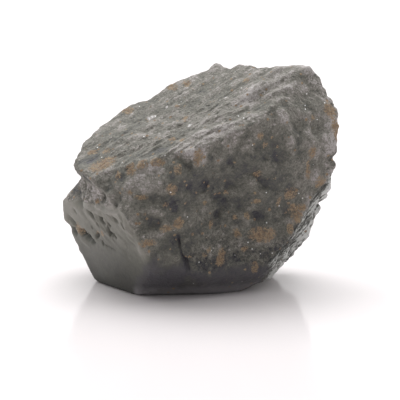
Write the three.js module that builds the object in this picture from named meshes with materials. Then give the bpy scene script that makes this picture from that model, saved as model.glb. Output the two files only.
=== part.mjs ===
// Rough chrome tourmaline: one natural stone, broken on every side, standing on
// its own flat foot. Millimetres, +Z up; the side with the hollow faces -Y.
//
// The stone is star-shaped about HEART, a point in its middle. Two blocks bounded
// by flat facets are joined: the cap, which is the main mass with the sloping top,
// and the lobe, which sticks out low at the left with the clean cleaved face. A
// relief of lumps, furrows, ledges and etch pits is then added along each ray.
import * as THREE from 'three';
import { mergeVertices } from 'three/addons/utils/BufferGeometryUtils.js';

// ---- driving dimensions (mm and degrees) ----------------------------------
const HEART = [0.595, 0.45, 11.5];  // middle of the stone, above the foot plane
const FOOT = 11.5;               // reach down from HEART to the flat foot
const SHARP = 80;                // how crisp the edges between facets are
const BURIED = 8;                // how fast a block's own facets count for less inside the other
const FINER_FRONT = 0.3;         // how far the rays crowd towards the front
const CELLS = 28;                // grid cells along each edge of the six patches
const FOOT_SNAP = 0.06;          // surface this close above the foot is cut flat
const FOOT_FADE = 1.2;           // the relief fades out over this height above the foot
const WELD = 1e-5;               // grid corners closer than this are one
const FINISH = { color: 0x6b6762, roughness: 0.62, metalness: 0, flatShading: true };

// A facet is [turn, lean, reach]. Its outward direction turns from the front (-Y)
// towards the right (+X) and leans up from level; reach is its distance from HEART.
const SHARED = {
  top: [-58, 62, 8],
  topRight: [-22, 61, 9.5],
  crown: [175, 76, 12.2],
  front: [22, -9, 8.2],
  frontUpperRight: [35, 26, 11.95],
  frontLowLeft: [-11, 3, 11.15],
  frontLeft: [-26, 20, 11.2],
  rightTop: [135, 52, 14.3],
  rightUpper: [113, 25, 14.75],
  right: [100, -1, 13.3],
  rightLower: [100, -12, 12.4],
  fibrous: [64, -31, 11.52],
  rightLow: [112, -26, 14.7],
  rightLowest: [90, -44, 13],
  rightFoot: [64, -54, 12.2],
  backRight: [160, 30, 10.8],
  backLeft: [-167, 20, 9.7],
  backSide: [140, 0, 11.6],
  back: [178, 5, 9.1],
  backLow: [178, -35, 10.5],
  bevel: [4, -47, 11.75],
  bevelRight: [22, -45, 11.35],
  smoothLow: [-53, -31, 13.7],
  smoothFront: [-48, -22, 12.85],
  foot: [0, -90, FOOT],
};
const CAP = {
  leftFar: [-115, 20, 13.1],
  leftMiddle: [-136, 22, 11.7],
  leftTip: [-86, 4, 14],
  underTip: [-74, -45, 8.5],
};
const LOBE = {
  shelf: [-64, 20, 11],
  shelfFar: [-112, 43.5, 9.25],
  smooth: [-59, -14, 12.34],
  lobeTip: [-91, 3, 15.5],
  lobeUnder: [-112, -30, 15.8],
};

// Natural relief that covers the stone. A pitch is the distance between lumps, or
// [along, across] an axis for streaks; a height is how far the surface swells.
const SWELL = { pitch: 2.7, height: 0.34, seed: 1 };
const KNOBS = { pitch: 1.3, height: 0.24, seed: 2 };
const WAVES = { pitch: 2, height: 0.06, seed: 4 };
const FINE_STREAKS = { axis: [114, 27.5], pitch: [4, 0.75], height: 0.13, seed: 5 };
const BROAD_STREAKS = { axis: [114, 27.5], pitch: [7, 1.6], height: 0.16, seed: 6 };
const FIBRES = { axis: [101, 50], pitch: [4, 0.5], height: 0.35, seed: 7 };
const PIT_RAGGEDNESS = { pitch: 0.45, height: 0.25, seed: 8 };
const CLEAVED_BORDER = { pitch: 1.1, height: 0.008, seed: 31 };
const BEVEL_BORDER = { pitch: 1.6, height: 0.03, seed: 32 };
const LUMP_RAGGEDNESS = { pitch: 0.8, height: 0.4, seed: 41 };
const KNOBS_ON_TOP = 0.5;        // share of the knobs that the streaked top keeps
const PIT_RIM = [1.25, 0.75];    // a pit's wall runs between these parts of its size

// How near its facet (1 on it) the surface takes on that facet's own character.
const SMOOTH_FROM = 0.975;
const SMOOTH_WHOLE = 0.989;
const BEVEL_FROM = 0.94;
const BEVEL_POLISH = 0.6;
const TOP_FROM = 0.9;
const FIBRES_FROM = 0.95;

// Furrows and ridges: [turn, lean] of the middle, [turn, lean] of the axis,
// half length, half width, height (below zero for a furrow).
const FURROWS = [
  [29, 71, 130, 28, 2.8, 0.45, -0.25], [9, 53, 92, 22, 2.4, 0.5, 0.25],
  [-47, 52, 75, 20, 2, 0.4, -0.25], [61, 53, 112, 21, 3, 0.4, -0.15],
  [-110, 53, 110, 27, 1.5, 0.35, -0.45], [72, 73, 84, 23, 3.2, 0.5, -0.25],
  [-1, 40, 96, 21, 3.2, 0.45, 0.25], [-56, 23, 79, 21, 2.3, 0.4, -0.2],
  [-71, 32, 69, 18, 1.8, 0.5, 0.25], [33, 49, 124, 25, 2.6, 0.4, -0.12],
  [-103, 43, 71, 18, 2.7, 0.4, -0.25], [63, 51, 113, 21, 1.7, 0.4, 0.25],
  [-13, 21, 83, -24, 1.6, 0.5, -0.45], [-13, -41, 136, -69, 0.8, 0.2, -0.55],
  [-52, 11, 69, 15, 1.8, 0.35, -0.3], [42, 9, 119, -39, 1.6, 0.5, -0.35],
  [170, 10, 90, 40, 3.5, 0.4, -0.5], [-160, -15, 120, -60, 2.5, 0.35, -0.5],
  [150, -10, 100, -70, 2.6, 0.4, -0.4], [-76, -11, 33, -10, 1.4, 0.25, 0.2],
  [-54, -10, 32, -4, 1.5, 0.2, 0.25], [-40, -14, 63, -65, 1, 0.22, 0.22],
  [-65, -14, 38, -26, 1.1, 0.18, 0.15], [-91, -28, 35, -14, 1, 0.25, 0.15],
  [72, -10, 101, 46, 1, 0.18, 0.35], [78, -26, 101, 54, 1.9, 0.2, 0.35],
  [85, -31, 101, 54, 1.5, 0.18, 0.35], [77, -38, 101, 50, 2, 0.22, 0.35],
  [66, -44, 101, 47, 2.2, 0.2, 0.3], [83, -46, 101, 47, 1.9, 0.18, 0.3],
  [73, -31, 101, 52, 1.4, 0.2, -0.4], [84, -40, 101, 48, 1.2, 0.2, -0.45],
];

// Lumps and hollows: [turn, lean] of the middle, radius, height.
const LUMPS = [
  [169, 62, 0.9, 0.7], [122, 67, 0.9, 0.6], [83, 58, 0.7, 0.5], [60, 58, 1.2, 0.3],
  [144, 69, 0.6, -0.3], [90, 62, 0.6, -0.2], [-155, 53, 1.6, 0.45], [-98, 21, 1.4, 0.3],
  [-105, 21, 0.7, 0.25], [-134, 41, 1, -0.15], [167, 64, 0.7, 0.3], [150, 65, 0.6, -0.3],
  [133, 68, 0.6, 0.2], [112, 60, 0.9, -0.45], [100, 60, 0.6, -0.25], [87, 36, 1.2, -0.2],
  [94, 50, 1, 0.35], [125, 66, 0.9, -0.25], [121, 60, 0.8, -0.2], [94, 60, 0.6, -0.2],
  [178, 60, 0.9, -0.25], [86, 49, 0.6, 0.3], [89, 40, 0.8, -0.35], [12, 1, 4, -0.8],
  [15, -7, 0.9, -0.4], [45, -19, 0.7, -0.4], [8, -21, 0.7, -0.35], [-30, -12, 0.9, -0.45],
  [-18, -4, 0.8, -0.35], [-1, 13, 1.4, -0.35], [19, 8, 0.8, -0.3], [38, 29, 0.8, -0.3],
  [30, 37, 0.6, -0.3], [-17, -25, 0.8, -0.35], [-10, 22, 1, -0.4], [-4, 21, 0.8, 0.4],
  [-16, -16, 0.8, 0.4], [-22, -17, 0.8, 0.4], [-36, -9, 1, 0.45], [-30, 6, 0.7, 0.35],
  [45, -6, 1.3, 0.3], [34, -20, 0.7, 0.3], [-3, -13, 0.8, 0.3], [60, -2, 0.7, 0.3],
  [53, 39, 0.8, 0.3], [35, 43, 0.8, 0.3], [67, -11, 0.6, 0.3], [65, -18, 0.7, 0.3],
  [26, -36, 0.6, 0.3], [-1, -35, 0.7, 0.25], [-32, -23, 0.9, 0.3], [47, -28, 1, 0.25],
  [0, 23, 0.8, 0.25], [11, 24, 0.7, 0.25], [29, -29, 0.9, 0.25], [-22, 12, 0.8, 0.3],
  [68, 38, 1, 0.25], [71, 27, 0.9, -0.25], [60, 30, 0.8, -0.25], [62, 16, 1.2, 0.3],
  [76, 19, 1, 0.3], [75, 9, 0.8, 0.25], [75, -3, 0.6, 0.3], [73, -10, 0.6, -0.4],
  [77, -2, 0.7, 0.2], [84, -14, 0.7, 0.15], [97, -31, 0.8, 0.25], [73, 3, 1.2, 0.3],
  [100, -26, 0.6, -0.2], [96, -50, 0.7, -0.2], [78, 17, 1.6, -0.45], [80, -6, 0.7, 0.4],
  [-99, -6, 0.6, 0.25], [-42, 4, 0.8, 0.35], [-49, 0, 0.7, 0.3], [-46, -3, 0.7, -0.3],
  [-78, -6, 0.6, 0.3], [-91, -7, 0.6, -0.25], [-97, -8, 0.6, 0.25], [-78, 12, 0.7, -0.25],
  [-76, 9, 0.6, 0.25], [-88, 0, 0.8, 0.35], [-79, -1, 0.9, 0.45], [-67, -2, 1, 0.45],
  [-55, -3, 1, 0.4], [-101, -18, 0.7, 0.25], [175, 20, 2, -0.6], [160, -5, 1.6, 0.5],
  [-170, -20, 1.8, -0.5], [-155, 10, 1.5, 0.5], [140, 25, 1.6, -0.4], [135, -20, 1.5, 0.4],
  [-140, -25, 1.6, 0.4], [165, 42, 1.4, -0.4], [-130, -5, 1.5, -0.4], [120, 5, 1.4, -0.4],
  [108, 30, 1.5, 0.4], [178, -35, 1.3, 0.4],
];

// Etch pits on the smooth face, steep sided: numbers as for the furrows.
const PITS = [
  [-88, -25, 35, -17, 1.6, 0.55, -0.9], [-96, -19, 39, -30, 1, 0.4, -0.3],
  [-97, -23, 39, -30, 0.5, 0.45, -0.5], [-77, -14, 39, -28, 0.75, 0.35, -0.5],
  [-65, -16, 33, -8, 0.7, 0.42, -0.6], [-61, -20, 135, -76, 0.75, 0.35, -0.6],
  [-51, -12, 42, -38, 0.6, 0.35, -0.25], [-44, -15, 63, -65, 0.6, 0.3, -0.35],
  [-72, -28, 52, -56, 0.4, 0.3, -0.35],
];

// ---- small vector and noise helpers ---------------------------------------
const dot = (a, b) => a[0] * b[0] + a[1] * b[1] + a[2] * b[2];
const scale = (a, s) => [a[0] * s, a[1] * s, a[2] * s];
const minus = (a, b) => [a[0] - b[0], a[1] - b[1], a[2] - b[2]];
const cross = (a, b) => [
  a[1] * b[2] - a[2] * b[1], a[2] * b[0] - a[0] * b[2], a[0] * b[1] - a[1] * b[0],
];
const unit = (a) => scale(a, 1 / Math.sqrt(dot(a, a)));
const fract = (x) => x - Math.floor(x);

/** The direction turned from the front towards the right and leant up. */
function aim(turn, lean) {
  const t = THREE.MathUtils.degToRad(turn);
  const l = THREE.MathUtils.degToRad(lean);
  return [Math.sin(t) * Math.cos(l), -Math.cos(t) * Math.cos(l), Math.sin(l)];
}

/** Eased step from 0 at a to 1 at b. */
function ease(a, b, x) {
  const t = Math.min(Math.max((x - a) / (b - a), 0), 1);
  return t * t * (3 - 2 * t);
}

/** A repeatable number from 0 to 1 for a whole-number point. */
const lattice = (x, y, z, seed) =>
  fract(Math.sin(x * 127.1 + y * 311.7 + z * 74.7 + seed * 19.3) * 43758.5453);

/** Smooth noise from -1 to 1, with one value for each unit cube's corner. */
function noise(p, seed) {
  const whole = p.map(Math.floor);
  const part = p.map((v, k) => {
    const f = v - whole[k];
    return f * f * f * (f * (f * 6 - 15) + 10);
  });
  let sum = 0;
  for (const x of [0, 1]) for (const y of [0, 1]) for (const z of [0, 1]) {
    const weight = (x ? part[0] : 1 - part[0]) * (y ? part[1] : 1 - part[1])
      * (z ? part[2] : 1 - part[2]);
    sum += weight * lattice(whole[0] + x, whole[1] + y, whole[2] + z, seed);
  }
  return sum * 2 - 1;
}

/** Lumpy relief at a point. */
const lumpy = ({ pitch, height, seed }, q) => height * noise(scale(q, 1 / pitch), seed);

/** Relief drawn out along an axis, at a point. */
function streaky({ axis, pitch, height, seed }, q) {
  const [along, across] = pitch;
  const a = aim(...axis);
  const b = unit(cross(a, [0, 0, 1]));
  const c = cross(a, b);
  return height * noise([dot(q, a) / along, dot(q, b) / across, dot(q, c) / across], seed);
}

// ---- the stone's shape ----------------------------------------------------
const facets = Object.entries({ ...SHARED, ...CAP, ...LOBE }).map(
  ([name, [turn, lean, reach]]) => ({ name, out: aim(turn, lean), reach }));

/**
 * The reach of the two joined blocks along a ray, and how close each facet is to
 * being the one that bounds it (1 on the facet). A block's reach is
 * 1 / (sum of (out.ray / reach)^SHARP)^(1/SHARP), which rounds its edges slightly.
 */
function bare(ray) {
  const pull = {};
  let shared = 0, cap = 0, lobe = 0;
  for (const { name, out, reach } of facets) {
    pull[name] = Math.max(dot(out, ray) / reach, 0);
    const term = pull[name] ** SHARP;
    if (name in CAP) cap += term;
    else if (name in LOBE) lobe += term;
    else shared += term;
  }
  const capReach = (shared + cap) ** (-1 / SHARP);
  const lobeReach = (shared + lobe) ** (-1 / SHARP);
  const reach = (capReach ** SHARP + lobeReach ** SHARP) ** (1 / SHARP);
  for (const name in pull) {
    if (name in CAP) pull[name] *= capReach * (capReach / reach) ** BURIED;
    else if (name in LOBE) pull[name] *= lobeReach * (lobeReach / reach) ** BURIED;
    else pull[name] *= reach;
  }
  return { reach, pull };
}

/** The point on the bare block along a ray, from HEART. */
function seat(turn, lean) {
  const ray = aim(turn, lean);
  return scale(ray, bare(ray).reach);
}
const placed = (rows) => rows.map(([t, l, axisTurn, axisLean, long, wide, height]) =>
  ({ at: seat(t, l), axis: aim(axisTurn, axisLean), long, wide, height }));
const furrows = placed(FURROWS);
const pits = placed(PITS);
const lumps = LUMPS.map(([t, l, radius, height]) => ({ at: seat(t, l), radius, height }));

/** How far q lies from a point along an axis, and across it. */
function offsets(q, at, axis) {
  const p = minus(q, at);
  const along = dot(p, axis);
  return [along, Math.sqrt(Math.max(dot(p, p) - along * along, 0))];
}

/** How near two facets are as one: (a^SHARP + b^SHARP)^(1/SHARP). */
const joint = (a, b) => (a ** SHARP + b ** SHARP) ** (1 / SHARP);

/** How much the surface is lifted along its ray at a point q of the bare block. */
function relief(q, pull) {
  const sides = joint(joint(pull.smooth, pull.smoothLow), pull.smoothFront);
  const cleaved = sides + lumpy(CLEAVED_BORDER, q);
  const bevelled = joint(pull.bevel, pull.bevelRight) + lumpy(BEVEL_BORDER, q);
  const polished = Math.max(
    ease(SMOOTH_FROM, SMOOTH_WHOLE, cleaved), BEVEL_POLISH * ease(BEVEL_FROM, 1, bevelled));
  const rough = 1 - polished;
  const top = ease(TOP_FROM, 1, Math.max(pull.top, pull.topRight, pull.crown));
  const fibrous = ease(FIBRES_FROM, 1, pull.fibrous) * rough;
  const knobs = (1 - (1 - KNOBS_ON_TOP) * top) * lumpy(KNOBS, q);
  let lift = rough * (lumpy(SWELL, q) + knobs) + polished * lumpy(WAVES, q);
  lift += top * (streaky(FINE_STREAKS, q) + streaky(BROAD_STREAKS, q));
  lift += fibrous * streaky(FIBRES, q);
  for (const { at, axis, long, wide, height } of furrows) {
    const [along, across] = offsets(q, at, axis);
    lift += height * Math.exp(-((along / long) ** 4) - (across / wide) ** 2);
  }
  const ragged = 1 + lumpy(LUMP_RAGGEDNESS, q);
  for (const { at, radius, height } of lumps) {
    const p = minus(q, at);
    lift += height * Math.exp(-ragged * dot(p, p) / radius ** 2);
  }
  for (const { at, axis, long, wide, height } of pits) {
    const [along, across] = offsets(q, at, axis);
    const out = Math.hypot(along / long, across / wide) + lumpy(PIT_RAGGEDNESS, q);
    lift += height * ease(...PIT_RIM, out);
  }
  return lift;
}

/** The point of the finished surface along a ray: the foot is cut flat at z = 0. */
function surface(ray) {
  const { reach, pull } = bare(ray);
  const q = scale(ray, reach);
  const faded = ease(0, FOOT_FADE, q[2] + FOOT);
  const p = scale(ray, reach + relief(q, pull) * faded);
  const z = p[2] + HEART[2];
  return [p[0] + HEART[0], p[1] + HEART[1], z < FOOT_SNAP ? 0 : z];
}

/**
 * The stone as one closed skin: a cube's grid pushed out to the surface. The tangent
 * spreads the grid's rays evenly over each side of the cube.
 */
function stoneGeometry() {
  const cube = new THREE.BoxGeometry(2, 2, 2, CELLS, CELLS, CELLS);
  cube.deleteAttribute('normal');
  cube.deleteAttribute('uv');
  const skin = mergeVertices(cube, WELD);
  const spot = skin.attributes.position;
  for (let k = 0; k < spot.count; k++) {
    const even = [spot.getX(k), spot.getY(k), spot.getZ(k)]
      .map((v) => Math.tan(v * Math.PI / 4));
    const [x, y, z] = unit(even);
    spot.setXYZ(k, ...surface(unit([x, y - FINER_FRONT, z])));
  }
  skin.computeVertexNormals();
  return skin;
}

const stone = new THREE.Mesh(stoneGeometry(), new THREE.MeshStandardMaterial(FINISH));
stone.name = 'rough_crystal';

const chromeTourmaline = new THREE.Group();
chromeTourmaline.add(stone);

export default chromeTourmaline;
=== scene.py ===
"""A rough chrome tourmaline crystal standing on a glossy white table top."""
import itertools

import bpy
import numpy as np
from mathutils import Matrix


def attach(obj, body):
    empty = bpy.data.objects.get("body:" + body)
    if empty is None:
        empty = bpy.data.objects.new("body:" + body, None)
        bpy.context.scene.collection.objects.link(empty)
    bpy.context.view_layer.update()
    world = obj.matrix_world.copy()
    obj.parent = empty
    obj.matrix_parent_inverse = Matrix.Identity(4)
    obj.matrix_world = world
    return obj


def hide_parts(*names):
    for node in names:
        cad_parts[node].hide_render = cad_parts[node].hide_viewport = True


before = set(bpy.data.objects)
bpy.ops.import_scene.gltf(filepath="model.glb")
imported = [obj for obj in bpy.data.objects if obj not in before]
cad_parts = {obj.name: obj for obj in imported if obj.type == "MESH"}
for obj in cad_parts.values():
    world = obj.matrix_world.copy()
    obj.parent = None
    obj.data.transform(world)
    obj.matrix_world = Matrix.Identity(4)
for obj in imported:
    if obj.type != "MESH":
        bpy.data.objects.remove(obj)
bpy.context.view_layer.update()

# ---- The stone's blocks -------------------------------------------------------------------
# One natural stone, broken on every side. Its mass is two blocks grown together: the cap,
# with the sloping streaked top, and the lobe, low at the left, with the clean cleaved face.
# Each block is bounded by flat facets. Lengths are millimetres, angles are degrees.

HEART = np.array([0.595, 0.45, 11.5])  # middle of the stone, above the foot
FOOT = 11.5                            # reach down from HEART to the flat foot
SHARP = 80                             # how crisp the edges between facets are
BURIED = 8       # how fast a block's own facets count for less inside the other

# A facet is (turn, lean, reach): its outward direction turns from the front (-Y) towards the
# right (+X) and leans up from level, and reach is its distance from HEART.
SHARED = {
    "top": (-58, 62, 8.0),
    "top_right": (-22, 61, 9.5),
    "crown": (175, 76, 12.2),
    "front": (22, -9, 8.2),
    "front_upper_right": (35, 26, 11.95),
    "front_low_left": (-11, 3, 11.15),
    "front_left": (-26, 20, 11.2),
    "right_top": (135, 52, 14.3),
    "right_upper": (113, 25, 14.75),
    "right": (100, -1, 13.3),
    "right_lower": (100, -12, 12.4),
    "fibrous": (64, -31, 11.52),
    "right_low": (112, -26, 14.7),
    "right_lowest": (90, -44, 13.0),
    "right_foot": (64, -54, 12.2),
    "back_right": (160, 30, 10.8),
    "back_left": (-167, 20, 9.7),
    "back_side": (140, 0, 11.6),
    "back": (178, 5, 9.1),
    "back_low": (178, -35, 10.5),
    "bevel": (4, -47, 11.75),
    "bevel_right": (22, -45, 11.35),
    "smooth_low": (-53, -31, 13.7),
    "smooth_front": (-48, -22, 12.85),
    "foot": (0, -90, FOOT),
}
CAP = {
    "left_far": (-115, 20, 13.1),
    "left_middle": (-136, 22, 11.7),
    "left_tip": (-86, 4, 14.0),
    "under_tip": (-74, -45, 8.5),
}
LOBE = {
    "shelf": (-64, 20, 11.0),
    "shelf_far": (-112, 43.5, 9.25),
    "smooth": (-59, -14, 12.34),
    "lobe_tip": (-91, 3, 15.5),
    "lobe_under": (-112, -30, 15.8),
}


def aim(turn, lean):
    """Unit direction: turned from the front towards the right, then leant up."""
    turn, lean = np.radians(turn), np.radians(lean)
    return np.array([np.sin(turn) * np.cos(lean), -np.cos(turn) * np.cos(lean), np.sin(lean)])


def frame_along(axis):
    """Unit columns: along an axis given as turn and lean, and two ways across it."""
    along = aim(*axis)
    across = np.cross(along, [0, 0, 1])
    across /= np.linalg.norm(across)
    return np.stack([along, across, np.cross(along, across)], axis=1)


def joint(first, second):
    """Two values as one: (first ** SHARP + second ** SHARP) ** (1 / SHARP)."""
    return (first ** SHARP + second ** SHARP) ** (1 / SHARP)


def pulls(rays, facets):
    """For each facet, out . ray / reach, and nothing below zero."""
    return {name: np.maximum(rays @ aim(turn, lean) / reach, 0)
            for name, (turn, lean, reach) in facets.items()}


def bare(rays):
    """Reach of the joined blocks along each ray, and how near each facet is to bounding it.

    A block's reach is 1 / (sum of pull ** SHARP) ** (1 / SHARP), which rounds its edges
    slightly. The two blocks join by the same rule turned round, so the longer reach counts.
    """
    shared, cap, lobe = pulls(rays, SHARED), pulls(rays, CAP), pulls(rays, LOBE)
    common = sum(pull ** SHARP for pull in shared.values())
    cap_reach = (common + sum(pull ** SHARP for pull in cap.values())) ** (-1 / SHARP)
    lobe_reach = (common + sum(pull ** SHARP for pull in lobe.values())) ** (-1 / SHARP)
    reach = joint(cap_reach, lobe_reach)
    nearness = {name: pull * reach for name, pull in shared.items()}
    for own_reach, own in ((cap_reach, cap), (lobe_reach, lobe)):
        showing = (own_reach / reach) ** BURIED
        nearness.update({name: pull * own_reach * showing for name, pull in own.items()})
    return reach, nearness


# ---- The stone's relief -------------------------------------------------------------------
# What weather and breaking left on the blocks: swellings and knobs all over, streaks drawn
# out along the crystal's long axis on the top, ribs on the fibrous right side, etch pits on
# the cleaved face, and a sugar of small grains. Each is a height along the ray, in mm.

FOOT_SNAP = 0.06           # surface this close above the foot is cut flat
FOOT_FADE = 1.2            # the relief fades out over this height above the foot
LONG_AXIS = (114, 27.5)    # turn and lean of the crystal, which the top's streaks follow
RIB_AXIS = (101, 50)       # of the fibrous side's ribs
CLEAVE_AXIS = (38, -28)    # of the cleaved face's ledges

# How near its facet (1 on it) the surface takes on that facet's own character.
SMOOTH_FROM = 0.975
SMOOTH_WHOLE = 0.989
BEVEL_FROM = 0.94
TOP_FROM = 0.9
FIBRES_FROM = 0.95
SIDE_CRUMBLY = (0.88, 0.98)
SHELF_CRUMBLY = (0.95, 0.99)

BEVEL_POLISH = 0.6         # how far the bevels are polished, next to the cleaved face
CRUMBLY_BELOW = (8, 5)     # the front crumbles more below this height above the foot,
CRUMBLY_RIGHT = (-3, 0)    # and to the right of this
LEDGES_ABOVE = (3, 7)      # the cleaved face's ledges begin above this height
BROAD_LUMP = 1.25          # lumps wider than this take no wear or dirt of their own
PIT_RIM = (1.25, 0.75)     # a pit's wall runs between these parts of its size
KNOBS_WORN = 0.5           # parts of the knobs and crumbs that the worn top lacks
CRUMBS_WORN = 0.3
MORE_CRUMBS = 0.4          # how much higher they are where the stone is crumbly
MORE_SUGAR = 0.6

# What scatters the noise's values, and then each noise: pitch from one swelling to the next,
# height, seed.
CORNER_MIX = np.array([127.1, 311.7, 74.7])
SEED_MIX = 19.3
DIGITS_DOWN = 43758.5453
SWELL = (2.7, 0.34, 1)
KNOBS = (1.3, 0.24, 2)
SMALL_KNOBS = (0.65, 0.1, 3)
WAVES = (2.0, 0.06, 4)
CLEAVED_BORDER = (1.1, 0.008, 31)
CLEAVED_NICKS = (0.45, 0.006, 34)
BEVEL_BORDER = (1.6, 0.03, 32)
BEVEL_NICKS = (0.6, 0.016, 33)
PIT_RAGGEDNESS = (0.5, 0.35, 8)
PIT_NICKS = (0.25, 0.2, 38)
LUMP_RAGGEDNESS = (0.8, 0.4, 41)

# Noise drawn out along an axis: axis, pitch along and across it, height, seed.
BROAD_STREAKS = (LONG_AXIS, (7, 1.6), 0.16, 6)
STREAKS = (LONG_AXIS, (4, 0.75), 0.13, 5)
FINE_STREAKS = (LONG_AXIS, (2.2, 0.36), 0.09, 9)
FIBRES = (RIB_AXIS, (4, 0.5), 0.35, 7)
FINE_FIBRES = (RIB_AXIS, (2.5, 0.3), 0.16, 10)
LEDGES = (CLEAVE_AXIS, (3, 0.45), 0.04, 16)

# Creases: axis, pitch along and across it, depth, width over the noise's range, seed.
TOP_CREASES = (LONG_AXIS, (2.4, 0.6), 0.08, 0.3, 12)
FIBRE_GAPS = (RIB_AXIS, (4, 0.45), 0.32, 0.35, 13)
SCRATCHES = (CLEAVE_AXIS, (2.6, 0.7), 0.06, 0.2, 17)

# Grains: pitch, seed, how much their heights differ, width of the step between them, doming.
CRUMBS = (0.85, 11, 0.16, 0.25, 0.1)
SUGAR = (0.42, 21, 0.07, 0.3, 0.05)

# Furrows and ridges: turn and lean of the middle, turn and lean of the axis, half length,
# half width, height (below zero for a furrow).
FURROWS = [
    (29, 71, 130, 28, 2.8, 0.45, -0.25), (9, 53, 92, 22, 2.4, 0.5, 0.25),
    (-47, 52, 75, 20, 2.0, 0.4, -0.25), (61, 53, 112, 21, 3.0, 0.4, -0.15),
    (-110, 53, 110, 27, 1.5, 0.35, -0.45), (72, 73, 84, 23, 3.2, 0.5, -0.25),
    (-1, 40, 96, 21, 3.2, 0.45, 0.25), (-56, 23, 79, 21, 2.3, 0.4, -0.2),
    (-71, 32, 69, 18, 1.8, 0.5, 0.25), (33, 49, 124, 25, 2.6, 0.4, -0.12),
    (-103, 43, 71, 18, 2.7, 0.4, -0.25), (63, 51, 113, 21, 1.7, 0.4, 0.25),
    (-13, 21, 83, -24, 1.6, 0.5, -0.45), (-16, -32, 137, -69, 1.5, 0.16, -0.45),
    (-13, -41, 136, -69, 0.8, 0.2, -0.55),
    (-52, 11, 69, 15, 1.8, 0.35, -0.3), (42, 9, 119, -39, 1.6, 0.5, -0.35),
    (170, 10, 90, 40, 3.5, 0.4, -0.5), (-160, -15, 120, -60, 2.5, 0.35, -0.5),
    (150, -10, 100, -70, 2.6, 0.4, -0.4),
    # Lips round the pits of the cleaved face.
    (-76, -11, 33, -10, 1.4, 0.25, 0.2), (-54, -10, 32, -4, 1.5, 0.2, 0.25),
    (-40, -14, 63, -65, 1.0, 0.22, 0.22), (-65, -14, 38, -26, 1.1, 0.18, 0.15),
    (-91, -28, 35, -14, 1.0, 0.25, 0.15), (-77, -11, 32, -6, 1.2, 0.14, 0.2),
    (-72, -15, 57, -60, 0.6, 0.12, 0.2), (-68, -20, 42, -37, 0.8, 0.12, 0.18),
    (-66, -9, 31, -1, 1.1, 0.14, 0.2), (-54, -9, 31, 1, 1.6, 0.14, 0.22),
    (-43, -12, 44, -43, 1.1, 0.14, 0.22), (-57, -12, 43, -39, 0.7, 0.11, 0.16),
    (-62, -22, 44, -43, 1.0, 0.11, 0.15),
    # Ribs of the fibrous side, and the gaps between them.
    (72, -10, 101, 46, 1.0, 0.18, 0.35), (81, -13, 101, 48, 1.0, 0.14, 0.3),
    (78, -26, 101, 54, 1.9, 0.2, 0.35), (85, -31, 101, 54, 1.5, 0.18, 0.35),
    (77, -38, 101, 50, 2.0, 0.22, 0.35), (66, -44, 101, 47, 2.2, 0.2, 0.3),
    (83, -46, 101, 47, 1.9, 0.18, 0.3), (73, -31, 101, 52, 1.4, 0.2, -0.4),
    (71, -15, 101, 50, 0.7, 0.22, -0.3), (84, -40, 101, 48, 1.2, 0.2, -0.45),
    (78, -50, 101, 46, 1.5, 0.15, -0.35), (89, -30, 101, 50, 0.6, 0.2, -0.4),
]

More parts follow.
